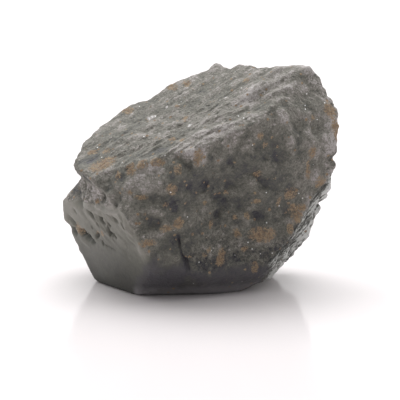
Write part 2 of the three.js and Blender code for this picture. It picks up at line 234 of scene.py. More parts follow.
# Lumps and hollows: turn and lean of the middle, radius, height.
LUMPS = [
    # Bumps and dips along the crown.
    (169, 62, 0.9, 0.7), (122, 67, 0.9, 0.6), (83, 58, 0.7, 0.5), (60, 58, 1.2, 0.3),
    (144, 69, 0.6, -0.3), (90, 62, 0.6, -0.2),
    (-155, 53, 1.6, 0.45), (-98, 21, 1.4, 0.3), (-105, 21, 0.7, 0.25), (-134, 41, 1.0, -0.15),
    (167, 64, 0.7, 0.3), (150, 65, 0.6, -0.3), (133, 68, 0.6, 0.2), (112, 60, 0.9, -0.45),
    (100, 60, 0.6, -0.25), (87, 36, 1.2, -0.2), (94, 50, 1.0, 0.35), (125, 66, 0.9, -0.25),
    (121, 60, 0.8, -0.2), (94, 60, 0.6, -0.2), (178, 60, 0.9, -0.25), (86, 49, 0.6, 0.3),
    (89, 40, 0.8, -0.35), (-95, 12, 0.5, -0.2), (-96, -1, 0.5, -0.25),
    # Hollows of the front.
    (12, 1, 4.0, -0.8), (15, -7, 0.9, -0.4), (45, -19, 0.7, -0.4), (8, -21, 0.7, -0.35),
    (-30, -12, 0.9, -0.45), (-18, -4, 0.8, -0.35), (-1, 13, 1.4, -0.35), (19, 8, 0.8, -0.3),
    (38, 29, 0.8, -0.3), (30, 37, 0.6, -0.3), (19, 24, 0.45, -0.25), (-17, -25, 0.8, -0.35),
    (27, -44, 0.5, -0.25), (-10, 22, 1.0, -0.4),
    # Lumps of the front.
    (-4, 21, 0.8, 0.4), (-16, -16, 0.8, 0.4), (-22, -17, 0.8, 0.4), (-36, -9, 1.0, 0.45),
    (-30, 6, 0.7, 0.35), (45, -6, 1.3, 0.3), (34, -20, 0.7, 0.3), (-3, -13, 0.8, 0.3),
    (9, 2, 0.4, 0.2), (60, -2, 0.7, 0.3), (53, 39, 0.8, 0.3), (35, 43, 0.8, 0.3),
    (67, -11, 0.6, 0.3), (65, -18, 0.7, 0.3), (26, -36, 0.6, 0.3), (-1, -35, 0.7, 0.25),
    (-32, -23, 0.9, 0.3), (47, -28, 1.0, 0.25), (0, 23, 0.8, 0.25), (11, 24, 0.7, 0.25),
    (29, -29, 0.9, 0.25), (-22, 12, 0.8, 0.3),
    # Right edge, from the top down.
    (68, 38, 1.0, 0.25), (71, 27, 0.9, -0.25), (60, 30, 0.8, -0.25), (62, 16, 1.2, 0.3),
    (76, 19, 1.0, 0.3), (74, 13, 0.45, -0.5), (75, 9, 0.8, 0.25), (75, -3, 0.6, 0.3),
    (75, -5, 0.5, -0.5), (73, -10, 0.6, -0.4), (77, -2, 0.7, 0.2), (81, -9, 0.5, -0.2),
    (84, -14, 0.7, 0.15), (97, -31, 0.8, 0.25), (73, 3, 1.2, 0.3),
    (83, -10, 0.5, -0.2), (100, -26, 0.6, -0.2), (96, -50, 0.7, -0.2),
    (78, 17, 1.6, -0.45), (80, -6, 0.7, 0.4), (-102, -21, 0.5, -0.3), (-99, -6, 0.6, 0.25),
    # Shelf and cap at the left.
    (-42, 4, 0.8, 0.35), (-49, 0, 0.7, 0.3), (-46, -3, 0.7, -0.3), (-78, -6, 0.6, 0.3),
    (-91, -7, 0.6, -0.25), (-97, -8, 0.6, 0.25), (-48, 12, 0.5, 0.25), (-78, 12, 0.7, -0.25),
    (-76, 9, 0.6, 0.25), (-88, 0, 0.8, 0.35), (-79, -1, 0.9, 0.45), (-67, -2, 1.0, 0.45),
    (-55, -3, 1.0, 0.4), (-87, -10, 0.35, -0.3), (-101, -18, 0.7, 0.25),
    (-84, -7, 0.3, 0.2), (-83, -3, 0.45, -0.3), (-85, -11, 0.4, -0.35), (-73, -5, 0.5, 0.2),
    (-66, -5, 0.4, -0.25), (-57, -5, 0.4, 0.2), (-77, -7, 0.35, 0.2), (-93, -8, 0.4, 0.2),
    (-89, -10, 0.3, -0.25), (-71, -1, 0.5, 0.25), (-53, 2, 0.4, -0.25), (-48, -4, 0.4, -0.25),
    # Back.
    (175, 20, 2.0, -0.6), (160, -5, 1.6, 0.5), (-170, -20, 1.8, -0.5), (-155, 10, 1.5, 0.5),
    (140, 25, 1.6, -0.4), (135, -20, 1.5, 0.4), (-140, -25, 1.6, 0.4), (165, 42, 1.4, -0.4),
    (-130, -5, 1.5, -0.4), (120, 5, 1.4, -0.4), (108, 30, 1.5, 0.4), (178, -35, 1.3, 0.4),
]

# Etch pits on the cleaved face, steep sided: numbers as for the furrows.
PITS = [
    (-88, -25, 35, -17, 1.5, 0.48, -1.0), (-96, -19, 39, -30, 1.0, 0.3, -0.3),
    (-97, -23, 39, -30, 0.5, 0.45, -0.5), (-77, -14, 39, -28, 0.7, 0.24, -0.65),
    (-65, -16, 33, -8, 0.65, 0.38, -0.75), (-61, -20, 135, -76, 0.7, 0.27, -0.75),
    (-51, -12, 42, -38, 0.6, 0.3, -0.25), (-44, -14, 53, -56, 0.4, 0.17, -0.45),
    (-58, -22, 46, -46, 0.3, 0.22, -0.4), (-59, -17, 44, -41, 0.4, 0.2, -0.35),
    (-72, -28, 52, -56, 0.25, 0.2, -0.5), (-55, -22, 45, -44, 0.3, 0.15, -0.4),
    (-72, -19, 39, -29, 0.35, 0.12, -0.3), (-80, -21, 40, -32, 0.2, 0.13, -0.3),
    (-64, -30, 32, -5, 0.9, 0.1, -0.12), (-92, -14, 48, -49, 0.2, 0.12, -0.25),
    (-76, -25, 23, 30, 0.6, 0.2, -0.4),
]


def ease(start, end, value):
    """Eased step: 3 t^2 - 2 t^3 with t the way from start to end."""
    t = np.clip((value - start) / (end - start), 0, 1)
    return t * t * (3 - 2 * t)


def lattice(corner, seed):
    """A repeatable number from 0 to 1 for each whole-number point: the digits far behind the
    point of a sine."""
    mixed = np.sin(corner @ CORNER_MIX + seed * SEED_MIX) * DIGITS_DOWN
    return mixed - np.floor(mixed)


def noise(points, seed):
    """Smooth noise from -1 to 1: lattice values at a cell's corners, eased between them by
    6 t^5 - 15 t^4 + 10 t^3 in each direction."""
    whole = np.floor(points)
    part = points - whole
    part = part ** 3 * (part * (part * 6 - 15) + 10)
    total = 0
    for corner in itertools.product((0, 1), repeat=3):
        weight = np.prod(np.where(corner, part, 1 - part), axis=-1)
        total = total + weight * lattice(whole + corner, seed)
    return total * 2 - 1


def lumpy(points, pitch, height, seed):
    """Noise with one swelling about every pitch."""
    return height * noise(points / pitch, seed)


def streaky(points, axis, pitch, height, seed):
    """Noise drawn out along an axis: pitch is (along, across)."""
    along, across = pitch
    return height * noise(points @ frame_along(axis) / np.array([along, across, across]), seed)


def creased(points, axis, pitch, depth, width, seed):
    """Sharp creases drawn out along an axis, where streaky noise passes zero: depth in the
    crease's middle, rising straight to nothing where the noise reaches width."""
    return -depth * np.maximum(0, 1 - np.abs(streaky(points, axis, pitch, 1, seed)) / width)


def grains(points, pitch, seed):
    """Crystal grains: for each point the nearest seed's distance, the gap to the next nearest
    (both over the pitch), and a number from 0 to 1 that is the grain's own."""
    points = points / pitch
    whole = np.floor(points)
    nearest = np.full(len(points), np.inf)
    second = np.full(len(points), np.inf)
    own = np.zeros(len(points))
    for step in itertools.product((-1, 0, 1), repeat=3):
        cell = whole + step
        place = cell + np.stack([lattice(cell, seed + k) for k in (0, 1, 2)], axis=-1)
        distance = np.linalg.norm(points - place, axis=-1)
        closer = distance < nearest
        second = np.where(closer, nearest, np.minimum(second, distance))
        own = np.where(closer, lattice(cell, seed + 3), own)
        nearest = np.where(closer, distance, nearest)
    return nearest, second - nearest, own


def seat(turn, lean):
    """The point on the bare block along one ray, from HEART."""
    ray = aim(turn, lean)[np.newaxis]
    return ray[0] * bare(ray)[0][0]


def offsets(points, middle, axis):
    """How far each point lies from the middle along an axis, and across it."""
    away = points - middle
    along = away @ axis
    return along, np.sqrt(np.maximum((away * away).sum(axis=-1) - along ** 2, 0))


def grainy(points, pitch, seed, height, step, doming):
    """Relief of grains: each at a level of its own, reached over a step, and domed."""
    near, gap, own = grains(points, pitch, seed)
    return height * (own - 0.5) * ease(0, step, gap) - doming * near


def mounds(points, table, raggedness):
    """Radius and height at each point of every row of a table of lumps: a bell of height
    e ** -(distance / radius) ** 2, its border made ragged by noise."""
    ragged = 1 + lumpy(points, *raggedness)
    for turn, lean, radius, height in table:
        away = points - seat(turn, lean)
        yield radius, height * np.exp(-ragged * (away * away).sum(axis=-1) / radius ** 2)


def cleaved_share(points, nearness):
    """1 on the clean cleaved face, easing to 0 just past its ragged border."""
    near = joint(joint(nearness["smooth"], nearness["smooth_low"]), nearness["smooth_front"])
    border = lumpy(points, *CLEAVED_BORDER) + lumpy(points, *CLEAVED_NICKS)
    return ease(SMOOTH_FROM, SMOOTH_WHOLE, near + border)


def bevel_share(points, nearness):
    """1 on the bevels under the front, easing to 0 past their more ragged border."""
    near = joint(nearness["bevel"], nearness["bevel_right"])
    border = lumpy(points, *BEVEL_BORDER) + lumpy(points, *BEVEL_NICKS)
    return ease(BEVEL_FROM, 1, near + border)


def characters(points, nearness):
    """Shares from 0 to 1 of the polished, rough, streaked top and fibrous character."""
    bevelled = BEVEL_POLISH * bevel_share(points, nearness)
    polished = np.maximum(cleaved_share(points, nearness), bevelled)
    rough = 1 - polished
    tops = np.maximum.reduce([nearness["top"], nearness["top_right"], nearness["crown"]])
    top = ease(TOP_FROM, 1, tops)
    fibrous = ease(FIBRES_FROM, 1, nearness["fibrous"]) * rough
    return polished, rough, top, fibrous


def pit_depths(points):
    """Depth of the etch pits: flat floors and steep, ragged walls."""
    depth = 0
    for turn, lean, axis_turn, axis_lean, long, wide, height in PITS:
        along, across = offsets(points, seat(turn, lean), aim(axis_turn, axis_lean))
        out = np.hypot(along / long, across / wide)
        out += lumpy(points, *PIT_RAGGEDNESS) + lumpy(points, *PIT_NICKS)
        depth = depth + height * ease(*PIT_RIM, out)
    return depth


def relief(points, nearness):
    """Height of the relief along each ray, and the part of it that the tone follows.

    The height is the sum of what each character adds. The tone follows the knobs, the
    streaks, the lumps and the pits, but not the broad swellings: paler on their rises and
    darker in their dips, as painted light and shade.
    """
    polished, rough, top, fibrous = characters(points, nearness)
    broad = rough * lumpy(points, *SWELL) + polished * lumpy(points, *WAVES)
    broad += top * streaky(points, *BROAD_STREAKS)
    close = rough * (1 - KNOBS_WORN * top) * lumpy(points, *KNOBS)
    close += top * streaky(points, *STREAKS)
    close += fibrous * streaky(points, *FIBRES)
    for turn, lean, axis_turn, axis_lean, long, wide, height in FURROWS:
        along, across = offsets(points, seat(turn, lean), aim(axis_turn, axis_lean))
        close += height * np.exp(-(along / long) ** 4 - (across / wide) ** 2)
    for radius, lump in mounds(points, LUMPS, LUMP_RAGGEDNESS):
        if radius < BROAD_LUMP:
            close += lump
        else:
            broad += lump
    crumbly = crumbliness(points, nearness)
    close += pit_depths(points) + fine_relief(points, rough, top, fibrous, crumbly)
    close += ledges(points, nearness)
    return broad + close, close


def ledges(points, nearness):
    """The cleaved face's thin ledges and scratches, fading out towards the foot."""
    share = cleaved_share(points, nearness) * ease(*LEDGES_ABOVE, points[:, 2] + FOOT)
    return share * (streaky(points, *LEDGES) + creased(points, *SCRATCHES))


def crumbliness(points, nearness):
    """How crumbly the rough stone is: most on the shelf, along the right side and low down."""
    side = ease(*SIDE_CRUMBLY, np.maximum(nearness["right"], nearness["right_upper"]))
    low = ease(*CRUMBLY_BELOW, points[:, 2] + FOOT) * ease(*CRUMBLY_RIGHT, points[:, 0])
    shelf = ease(*SHELF_CRUMBLY, nearness["shelf"])
    return np.maximum.reduce([side, low, shelf])


def fine_relief(points, rough, top, fibrous, crumbly):
    """The relief too small for the solid: crumbs, sugar grains, fine streaks and thin ribs."""
    crumbs = rough * (1 - CRUMBS_WORN * top) * grainy(points, *CRUMBS)
    lift = rough * lumpy(points, *SMALL_KNOBS)
    lift += crumbs * (1 + MORE_CRUMBS * crumbly)
    lift += rough * grainy(points, *SUGAR) * (1 + MORE_SUGAR * crumbly)
    lift += top * (streaky(points, *FINE_STREAKS) + creased(points, *TOP_CREASES))
    lift += fibrous * (streaky(points, *FINE_FIBRES) + creased(points, *FIBRE_GAPS))
    return lift


# ---- The stone's skin ---------------------------------------------------------------------
# One closed mesh: a cube's six grids, pushed out along their rays to the finished surface.
# Marks that the finish needs are worked out with it, and stay with its points.

CELLS = 128         # grid cells along each edge of the six grids
FINER_FRONT = 0.3   # how far the rays crowd towards the front, over a ray's length
MM = 0.001          # metres in a millimetre
ATLAS = (3, 2)      # the six grids lie in three columns and two rows of the UV square
ATLAS_MARGIN = 0.02

# Tone of the bare stone, from 0 at its darkest to 1 at its palest, and what changes it. A
# border gives where a change starts and where it is whole, as nearness to a facet.
ROUGH_TONE = 0.58
TOP_PALER = 0.08
UPPER_RIGHT_PALER = 0.07
UPPER_RIGHT_BORDER = (0.93, 1)
SIDE_PALER = 0.27                 # along the right side's border
SIDE_BORDER = (0.88, 0.97)
SIDE_MIDDLE = 0.6                 # part of that which the middle of the side lacks
SIDE_MIDDLE_BORDER = (0.975, 1)
# The front is darker: partly darker mineral, partly painted shade.
FRONT_DARKER = 0.08
FRONT_BORDER = (0.9, 1)
KNOBS_PALER = 0.65                # painted light and shade: for each mm of close relief, up to KNOBS_SPAN
KNOBS_LESS_ON_TOP = 0.25
KNOBS_SPAN = (-0.5, 0.5)
CLEAVED_TONE = 0.15               # of the cleaved face at the foot, darkened there as painted shade
CLEAVED_PALER = 0.67              # how much paler it is higher up: the darker foot is painted shade
# Height in mm over which the cleaved face's painted shade fades out.
CLEAVED_SHADE_MM = 12
PITS_DARKER = 0.6                 # painted shade in the pits, for each mm down
PITS_SPAN = (-0.6, 0.2)
BEVEL_TONE = 0.24
FOOT_LIGHT_TONE = 0.2                  # painted light: how much paler the bevels are at the foot, against the contact shadow
FOOT_LIGHT_MM = 1.6                    # height where that painted light ends
# The fibrous side is paler: partly its pale fibres, partly painted sheen.
FIBRES_PALER = 0.12
RIBS_PALER = 0.85                 # painted light on the ribs and shade in their gaps, for each mm up
RIBS_SPAN = (-0.4, 0.45)
PATCH_RAGGEDNESS = (0.8, 0.5, 41)

# Rust stains: turn and lean of the middle, half width, half height. A small one is weaker,
# so that it breaks up into specks.
STAIN_BORDER = (1.9, 0.2)         # where it starts and where it is whole, over its size
STAIN_LEAST = 0.6                 # strength of the smallest
STAIN_MORE = 0.3                  # what it gains with its size
STAINS = [
    # Front, top and left.
    (46, -29, 1.05, 0.55), (-65, 13, 1.0, 0.85), (80, 31, 0.55, 0.9), (78, 23, 0.45, 1.5),
    (66, 10, 0.2, 1.0), (71, 3, 0.4, 0.5), (60, -2, 0.5, 0.5), (64, -11, 0.4, 0.4),
    (66, -10, 0.3, 0.3), (65, -16, 0.4, 0.6), (55, -7, 0.2, 0.45), (66, 18, 0.3, 0.5),
    (71, 32, 0.2, 0.2), (14, -44, 0.4, 0.75), (45, -48, 0.3, 0.5), (27, -30, 0.3, 0.3),
    (35, -18, 0.3, 0.3), (26, -20, 0.2, 0.2), (-76, 19, 0.45, 0.2), (-86, 15, 0.45, 0.2),
    (-42, 14, 0.45, 0.45), (-37, 18, 0.45, 0.45), (-28, 20, 0.65, 0.3), (-15, 17, 0.3, 0.45),
    (-48, 10, 0.3, 0.3), (-31, 40, 0.3, 0.3), (-17, 36, 0.3, 0.3), (-46, 68, 0.3, 0.3),
    (-112, 68, 0.2, 0.2), (-148, 54, 0.6, 0.2), (-4, 24, 0.4, 0.7), (37, 33, 0.3, 0.3),
    (41, 29, 0.2, 0.2), (39, 13, 0.3, 0.3), (-39, 3, 0.2, 0.2), (-34, 1, 0.45, 0.2),
    (-18, 6, 0.4, 0.45), (-22, -3, 0.2, 0.2), (-22, -16, 0.55, 0.3), (-16, -15, 0.45, 0.45),
    (-30, -21, 0.65, 0.3), (0, -6, 0.2, 0.2), (17, 1, 0.2, 0.2), (5, -22, 0.2, 0.3),
    (3, -37, 0.2, 0.2), (0, -39, 0.2, 0.2), (35, -40, 0.3, 0.3), (63, -23, 0.3, 0.45),
    (40, -6, 0.3, 0.2), (84, 68, 0.3, 0.2), (-67, -6, 0.2, 0.2), (-93, -22, 0.6, 0.5),
    (-75, -24, 0.3, 0.25), (-70, -23, 0.2, 0.3),
    # Right side and back.
    (120, 20, 0.6, 0.9), (135, -8, 0.8, 0.5), (160, 40, 0.5, 0.4), (172, 8, 0.9, 0.7),
    (-170, -20, 0.5, 0.4), (-150, 15, 0.6, 0.5), (-128, 2, 0.5, 0.8), (150, -35, 0.4, 0.5),
    (-140, -35, 0.4, 0.3), (105, -20, 0.4, 0.7), (-160, 60, 0.4, 0.3), (-120, 35, 0.5, 0.3),
]

# Pale and dark patches: turn and lean of the middle, radius, change of tone.
PATCHES = [
    # Paler along the ridge and the upper right.
    (48, 58, 1.3, 0.3), (19, 41, 1.3, 0.1), (4, 35, 1.5, 0.26), (-8, 23, 1.5, 0.45),
    (24, 33, 1.6, 0.15), (-31, 17, 1.1, 0.2), (-37, 9, 0.9, 0.14), (69, 52, 1.5, 0.22),
    (73, 28, 1.5, 0.18), (62, 32, 1.3, 0.14), (72, 43, 1.6, 0.12), (69, -6, 1.2, 0.2),
    (66, 5, 1.5, 0.14), (70, 17, 1.5, 0.15), (-56, 8, 1.0, 0.15), (-46, 0, 0.9, 0.14),
    (-24, 0, 1.2, 0.11), (8, -14, 1.5, 0.1), (14, -34, 1.3, 0.1), (-96, -17, 1.2, 0.1),
    (40, 8, 1.1, 0.15), (71, -8, 1.0, 0.2), (70, -37, 1.3, 0.2), (66, -47, 1.3, 0.2),
    (-29, -13, 1.4, 0.1), (0, -18, 1.6, 0.1), (31, -47, 2.0, 0.1), (66, -9, 1.2, 0.12),
    (-62, 19, 0.9, 0.12), (-34, -25, 1.0, 0.08), (-84, -7, 0.4, 0.2), (-93, -8, 0.4, 0.2),
    (-77, -7, 0.35, 0.15), (-71, -1, 0.5, 0.12), (-37, 12, 1.2, 0.16), (-28, 15, 0.9, 0.14),
    (-36, 4, 1.1, 0.14), (-42, -3, 0.9, 0.1), (-23, 1, 0.7, 0.1), (84, -46, 0.9, 0.2),
    (73, -2, 1.0, 0.2), (72, -8, 0.8, 0.15), (49, 52, 0.8, 0.12), (78, 45, 1.0, 0.1),
    (61, -35, 0.8, 0.15), (-53, 26, 0.8, 0.08), (55, 23, 1.0, 0.08), (69, 29, 1.0, 0.08),
    # Painted glints of sparkling grains, a line of them near the top's left rim.
    (-106, 46, 0.18, 1.6), (-108, 48, 0.16, 1.5), (-109, 50, 0.16, 1.4), (-120, 58, 0.16, 1.5),
    (-19, 54, 0.15, 1.4), (48, 72, 0.15, 1.4),
    # Darker in the hollows of the front, partly darker mineral and partly painted shade, and where
    # the top runs down to the left.
    (-31, 28, 1.3, -0.34), (-48, 21, 1.3, -0.28), (-78, 16, 2.0, -0.22), (-77, 10, 1.5, -0.22),
    (-99, 21, 1.3, -0.12), (-83, 33, 1.7, -0.26), (-107, 42, 1.2, -0.12), (-20, 38, 1.0, -0.13),
    (-3, 16, 2.1, -0.17), (-13, 12, 1.4, -0.12), (41, 20, 1.6, -0.14), (54, 4, 1.3, -0.1),
    (19, -8, 1.3, -0.12), (34, -20, 1.0, -0.1), (-7, -28, 1.7, -0.15), (-39, -8, 1.1, -0.13),
    (27, 44, 1.2, -0.12), (46, 43, 1.3, -0.15), (53, 46, 1.2, -0.12), (-47, 7, 1.2, -0.2),
    (-30, 6, 1.2, -0.15), (-23, 75, 2.0, -0.08), (77, 46, 1.3, -0.12), (69, 37, 1.2, -0.12),
    (-60, -7, 1.0, -0.12), (-80, -2, 1.0, -0.22), (-46, 9, 0.9, -0.12), (-59, -36, 3.0, -0.07),
    (-144, 57, 0.9, -0.1), (-68, 14, 0.9, -0.12), (-61, -9, 0.6, -0.1), (4, 45, 0.8, -0.1),
    (62, 67, 0.8, -0.06),
]


def cube_grid(cells):
    """Whole-number corners of a cube's surface grid, and each grid's quads facing out.

    For each of the six sides two coordinates run over the grid and the third stays at 0 or
    at cells. Corners on shared edges are kept once.
    """
    step = np.arange(cells + 1)
    u, v = np.meshgrid(step, step, indexing="ij")
    low, high = np.zeros_like(u), np.full_like(u, cells)
    sides = [(high, u, v), (low, v, u), (v, high, u), (u, low, v), (u, v, high), (v, u, low)]
    corners = np.stack([np.stack(side, axis=-1) for side in sides]).reshape(-1, 3)
    code = corners @ np.array([1, cells + 1, (cells + 1) ** 2])
    _, first, back = np.unique(code, return_index=True, return_inverse=True)
    index = back.reshape(6, cells + 1, cells + 1)
    return corners[first], round_each_cell(index, 1)


def round_each_cell(grid, axis):
    """The four values round each cell of a grid, whose two directions start at an axis."""
    near, far = slice(None, -1), slice(1, None)
    before = (slice(None),) * axis
    turns = [(near, near), (far, near), (far, far), (near, far)]
    return np.stack([grid[before + turn] for turn in turns], axis=axis + 2)


def finished(rays):
    """Surface point along each ray in mm: bare block plus relief, cut flat at the foot."""
    reach, nearness = bare(rays)
    points = rays * reach[:, np.newaxis]
    lift, close = relief(points, nearness)
    faded = ease(0, FOOT_FADE, points[:, 2] + FOOT)
    places = HEART + rays * (reach + lift * faded)[:, np.newaxis]
    places[:, 2] = np.where(places[:, 2] < FOOT_SNAP, 0, places[:, 2])
    return places, points, nearness, close


def stain_strength(points):
    """How rusty each point is, from 0 outside the stains to nearly 1 in a large one's middle."""
    strength = np.zeros(len(points))
    for turn, lean, wide, tall in STAINS:
        away = points - seat(turn, lean)
        out = np.hypot(np.hypot(away[:, 0], away[:, 1]) / wide, away[:, 2] / tall)
        whole = STAIN_LEAST + STAIN_MORE * min(1, wide * tall)
        strength = np.maximum(strength, whole * ease(*STAIN_BORDER, out))
    return strength


corners, quads = cube_grid(CELLS)
rays = np.tan((corners / CELLS * 2 - 1) * np.pi / 4)
rays /= np.linalg.norm(rays, axis=1)[:, np.newaxis]
rays += FINER_FRONT * aim(0, 0)
rays /= np.linalg.norm(rays, axis=1)[:, np.newaxis]
places, bare_points, nearness, close = finished(rays)
polished, rough, top, fibrous = characters(bare_points, nearness)

skin = bpy.data.meshes.new("stone_skin")
skin.from_pydata(places * MM, [], quads.reshape(-1, 4))
skin.polygons.foreach_set("use_smooth", np.ones(len(skin.polygons), dtype=bool))

cleaved = cleaved_share(bare_points, nearness)
bevelled = bevel_share(bare_points, nearness)
height_share = np.clip(places[:, 2] / CLEAVED_SHADE_MM, 0, 1)
# Painted light on the bevels, strongest at the foot and easing out above it.
shaded = ease(FOOT_LIGHT_MM, 0, places[:, 2])
side = np.maximum(nearness["right"], nearness["right_upper"])
front = np.maximum(nearness["front"], nearness["front_low_left"])

tone = ROUGH_TONE + TOP_PALER * top
tone += UPPER_RIGHT_PALER * ease(*UPPER_RIGHT_BORDER, nearness["front_upper_right"])
middle = ease(*SIDE_MIDDLE_BORDER, side)
tone += SIDE_PALER * ease(*SIDE_BORDER, side) * (1 - SIDE_MIDDLE * middle)
tone -= FRONT_DARKER * ease(*FRONT_BORDER, front)
tone += rough * np.clip(close, *KNOBS_SPAN) * (KNOBS_PALER - KNOBS_LESS_ON_TOP * top)
clean_tone = CLEAVED_TONE + CLEAVED_PALER * height_share + PITS_DARKER * np.clip(close, *PITS_SPAN)
tone += cleaved * (clean_tone - tone)
tone += bevelled * (BEVEL_TONE + FOOT_LIGHT_TONE * shaded - tone)
tone += sum(patch for _, patch in mounds(bare_points, PATCHES, PATCH_RAGGEDNESS))
tone += fibrous * (FIBRES_PALER + RIBS_PALER * np.clip(close, *RIBS_SPAN))

marks = {
    "polished": polished,
    "top": top,
    "fibrous": fibrous,
    "crumbly": crumbliness(bare_points, nearness) * rough,
    "bevelled": bevelled,
    "cleaved": cleaved,
    "shaded": bevelled * shaded,
    "tone": tone,
    "stained": stain_strength(bare_points),
}
for name, values in marks.items():
    layer = skin.attributes.new(name, "FLOAT", "POINT")
    layer.data.foreach_set("value", values.astype(np.float32))

# Each side's grid is a square of the UV atlas, with a margin all round.
step = np.linspace(ATLAS_MARGIN, 1 - ATLAS_MARGIN, CELLS + 1)
across, up = np.meshgrid(step, step, indexing="ij")
square = round_each_cell(np.stack([across, up], axis=-1), 0)
squares = [(square + (grid % ATLAS[0], grid // ATLAS[0])) / ATLAS for grid in range(6)]
unwrapped = skin.uv_layers.new(name="OFBake")
unwrapped.data.foreach_set("uv", np.stack(squares).ravel())

stone = bpy.data.objects.new("stone", skin)
bpy.context.collection.objects.link(stone)
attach(stone, "root")
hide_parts("rough_crystal")


# ---- The stone's finish -------------------------------------------------------------------
# Grey-green tourmaline with a sugar of paler grains, mica specks painted as glints, and rust in
# the low places. The top is bleached by wear along its streaks, the broken front is darker and
# mottled, partly as painted shade, the cleaved face is smoother and cleaner, and the fibrous
# side has pale ribs, made paler still by painted sheen.


class Wire:
    """An output of a material's node. Arithmetic on wires and numbers adds Math nodes, and
    node() adds any other kind of node to the same tree."""

    def __init__(self, tree, socket=None):
        self.tree = tree
        self.socket = socket

    def node(self, kind, settings=None, inputs=None, output=0):
        """Adds a node: settings first, then the values or wires of its inputs."""
        made = self.tree.nodes.new(kind)
        for name, value in (settings or {}).items():
            if name == "stops":
                ramp = made.color_ramp
                while len(ramp.elements) < len(value):
                    ramp.elements.new(0.5)
                for element, (position, color) in zip(ramp.elements, value):
                    element.position = position
                    element.color = (*color, 1)
            else:
                setattr(made, name, value)
        for name, value in (inputs or {}).items():
            if isinstance(value, Wire):
                self.tree.links.new(value.socket, made.inputs[name])
            else:
                made.inputs[name].default_value = value
        return Wire(self.tree, made.outputs[output] if len(made.outputs) else None)

    def math(self, operation, first, second):
        """Adds a Math node."""
        return self.node("ShaderNodeMath", {"operation": operation}, {0: first, 1: second})

    def __add__(self, other):
        return self.math("ADD", self, other)

    def __radd__(self, other):
        return self.math("ADD", other, self)

    def __sub__(self, other):
        return self.math("SUBTRACT", self, other)

    def __rsub__(self, other):
        return self.math("SUBTRACT", other, self)

    def __mul__(self, other):
        return self.math("MULTIPLY", self, other)

    def __rmul__(self, other):
        return self.math("MULTIPLY", other, self)

    def above(self, start, end):
        """Eased step from 0 at start to 1 at end."""
        return self.node("ShaderNodeMapRange", {"interpolation_type": "SMOOTHSTEP"},
                         {"Value": self, "From Min": start, "From Max": end})

    def blend(self, first, second):
        """The first colour where this wire is 0, the second where it is 1."""
        first, second = [value if isinstance(value, Wire) else (*value, 1)
                         for value in (first, second)]
        return self.node("ShaderNodeMix", {"data_type": "RGBA", "clamp_factor": True},
                         {"Factor": self, 6: first, 7: second}, 2)


def new_material(name):
    """An empty node material, as a wire to build from."""
    material = bpy.data.materials.new(name)
    material.use_nodes = True
    material.node_tree.nodes.clear()
    return material, Wire(material.node_tree)


# Colours from the darkest tone to the palest: rough stone, cleaved face, fibrous side. The
# rough stone's darkest tones lean blue-purple, as painted shade colour.
STONE_TONES = [
    (0.0, (0.02, 0.0185, 0.027)), (0.2, (0.055, 0.0535, 0.062)), (0.4, (0.103, 0.1025, 0.086)),
    (0.6, (0.179, 0.172, 0.146)), (0.8, (0.281, 0.261, 0.242)), (1.0, (0.435, 0.407, 0.397)),
]
CLEAVED_TONES = [
    (0.0, (0.02, 0.02, 0.018)), (0.2, (0.058, 0.059, 0.05)), (0.4, (0.109, 0.1085, 0.088)),
    (0.6, (0.185, 0.18, 0.151)), (0.8, (0.286, 0.273, 0.244)), (1.0, (0.435, 0.417, 0.395)),
]
# The fibrous side's palest tones are partly painted sheen.
FIBRE_TONES = [
    (0.2, (0.045, 0.046, 0.041)), (0.5, (0.125, 0.128, 0.113)), (0.75, (0.25, 0.255, 0.235)),
    (1.0, (0.66, 0.67, 0.65)),
]
# The bevels: dark polished tourmaline, tinted blue-purple as painted shade colour.
BEVEL_COLOR = (0.086, 0.081, 0.09)
# Painted light for the bevels at the foot, against the contact shadow there.
BEVEL_PAINTED_LIGHT = (0.34, 0.325, 0.34)
RUST = (0.265, 0.186, 0.118)
RUST_DARK = (0.16, 0.108, 0.075)
RUST_TAN = (0.34, 0.26, 0.165)
# Painted glint colour: near-white spots standing in for sparkles of light.
PAINTED_GLINT = (0.85, 0.85, 0.85)

SUGAR_CELLS = 4.0          # cells to a mm
CRUMB_CELLS = 3.6
FLAKE_CELLS = 3.1
FRECKLE_CELLS = 2.0
GLINTING_FLAKES = (0.985, 0.987)    # a mica flake with a painted glint shows in the cells whose own number is above this
FRECKLED = (0.88, 0.91)         # and a rust freckle above this
PAINTED_GLINT_TONE = (1.3, 1.5)          # tone of the patches that get a painted glint

SPECKLE_LEAST = 0.25       # strength of the speckle on the polished faces
SPECKLE_ROUGH = 0.75       # how much stronger it is on rough stone,
SPECKLE_CALM = 0.4         # less this in its dark hollows
SPECKLE_CRUMBLY = 0.45     # and where it is crumbly
RUST_EDGE = (0.22, 0.32)   # the ragged shape of the rust starts and is whole at these
RUST_HALO = 0.25
BEVEL_STRENGTH = 0.65
FOOT_LIGHT_STRENGTH = 0.9

DULLNESS = 0.62            # roughness of the broken stone, and what changes it
POLISH = 0.14
SILK = 0.18
RUST_DULLER = 0.15
FLAKE_GLOSS = 0.4
SHINE = 0.5
BUMP_DEPTH = 0.15 * MM     # of relief finer than the mesh

finish, wires = new_material("stone_finish")
here = wires.node("ShaderNodeVectorMath", {"operation": "SCALE"},
                  {0: wires.node("ShaderNodeTexCoord", output="Object"), "Scale": 1 / MM})


def mark(name):
    """One of the marks that stay with the skin's points."""
    return wires.node("ShaderNodeAttribute", {"attribute_name": name}, output="Fac")


def cloud(place, scale, detail, roughness):
    """Cloudy noise from 0 to 1, with about scale clouds to a unit of place."""
    return wires.node("ShaderNodeTexNoise", None,
                      {"Vector": place, "Scale": scale, "Detail": detail, "Roughness": roughness})


def cells(scale, output="Distance"):
    """Distance from the middle of the cell that each point is in, or the cell's own colour."""
    return wires.node("ShaderNodeTexVoronoi", None, {"Vector": here, "Scale": scale}, output)


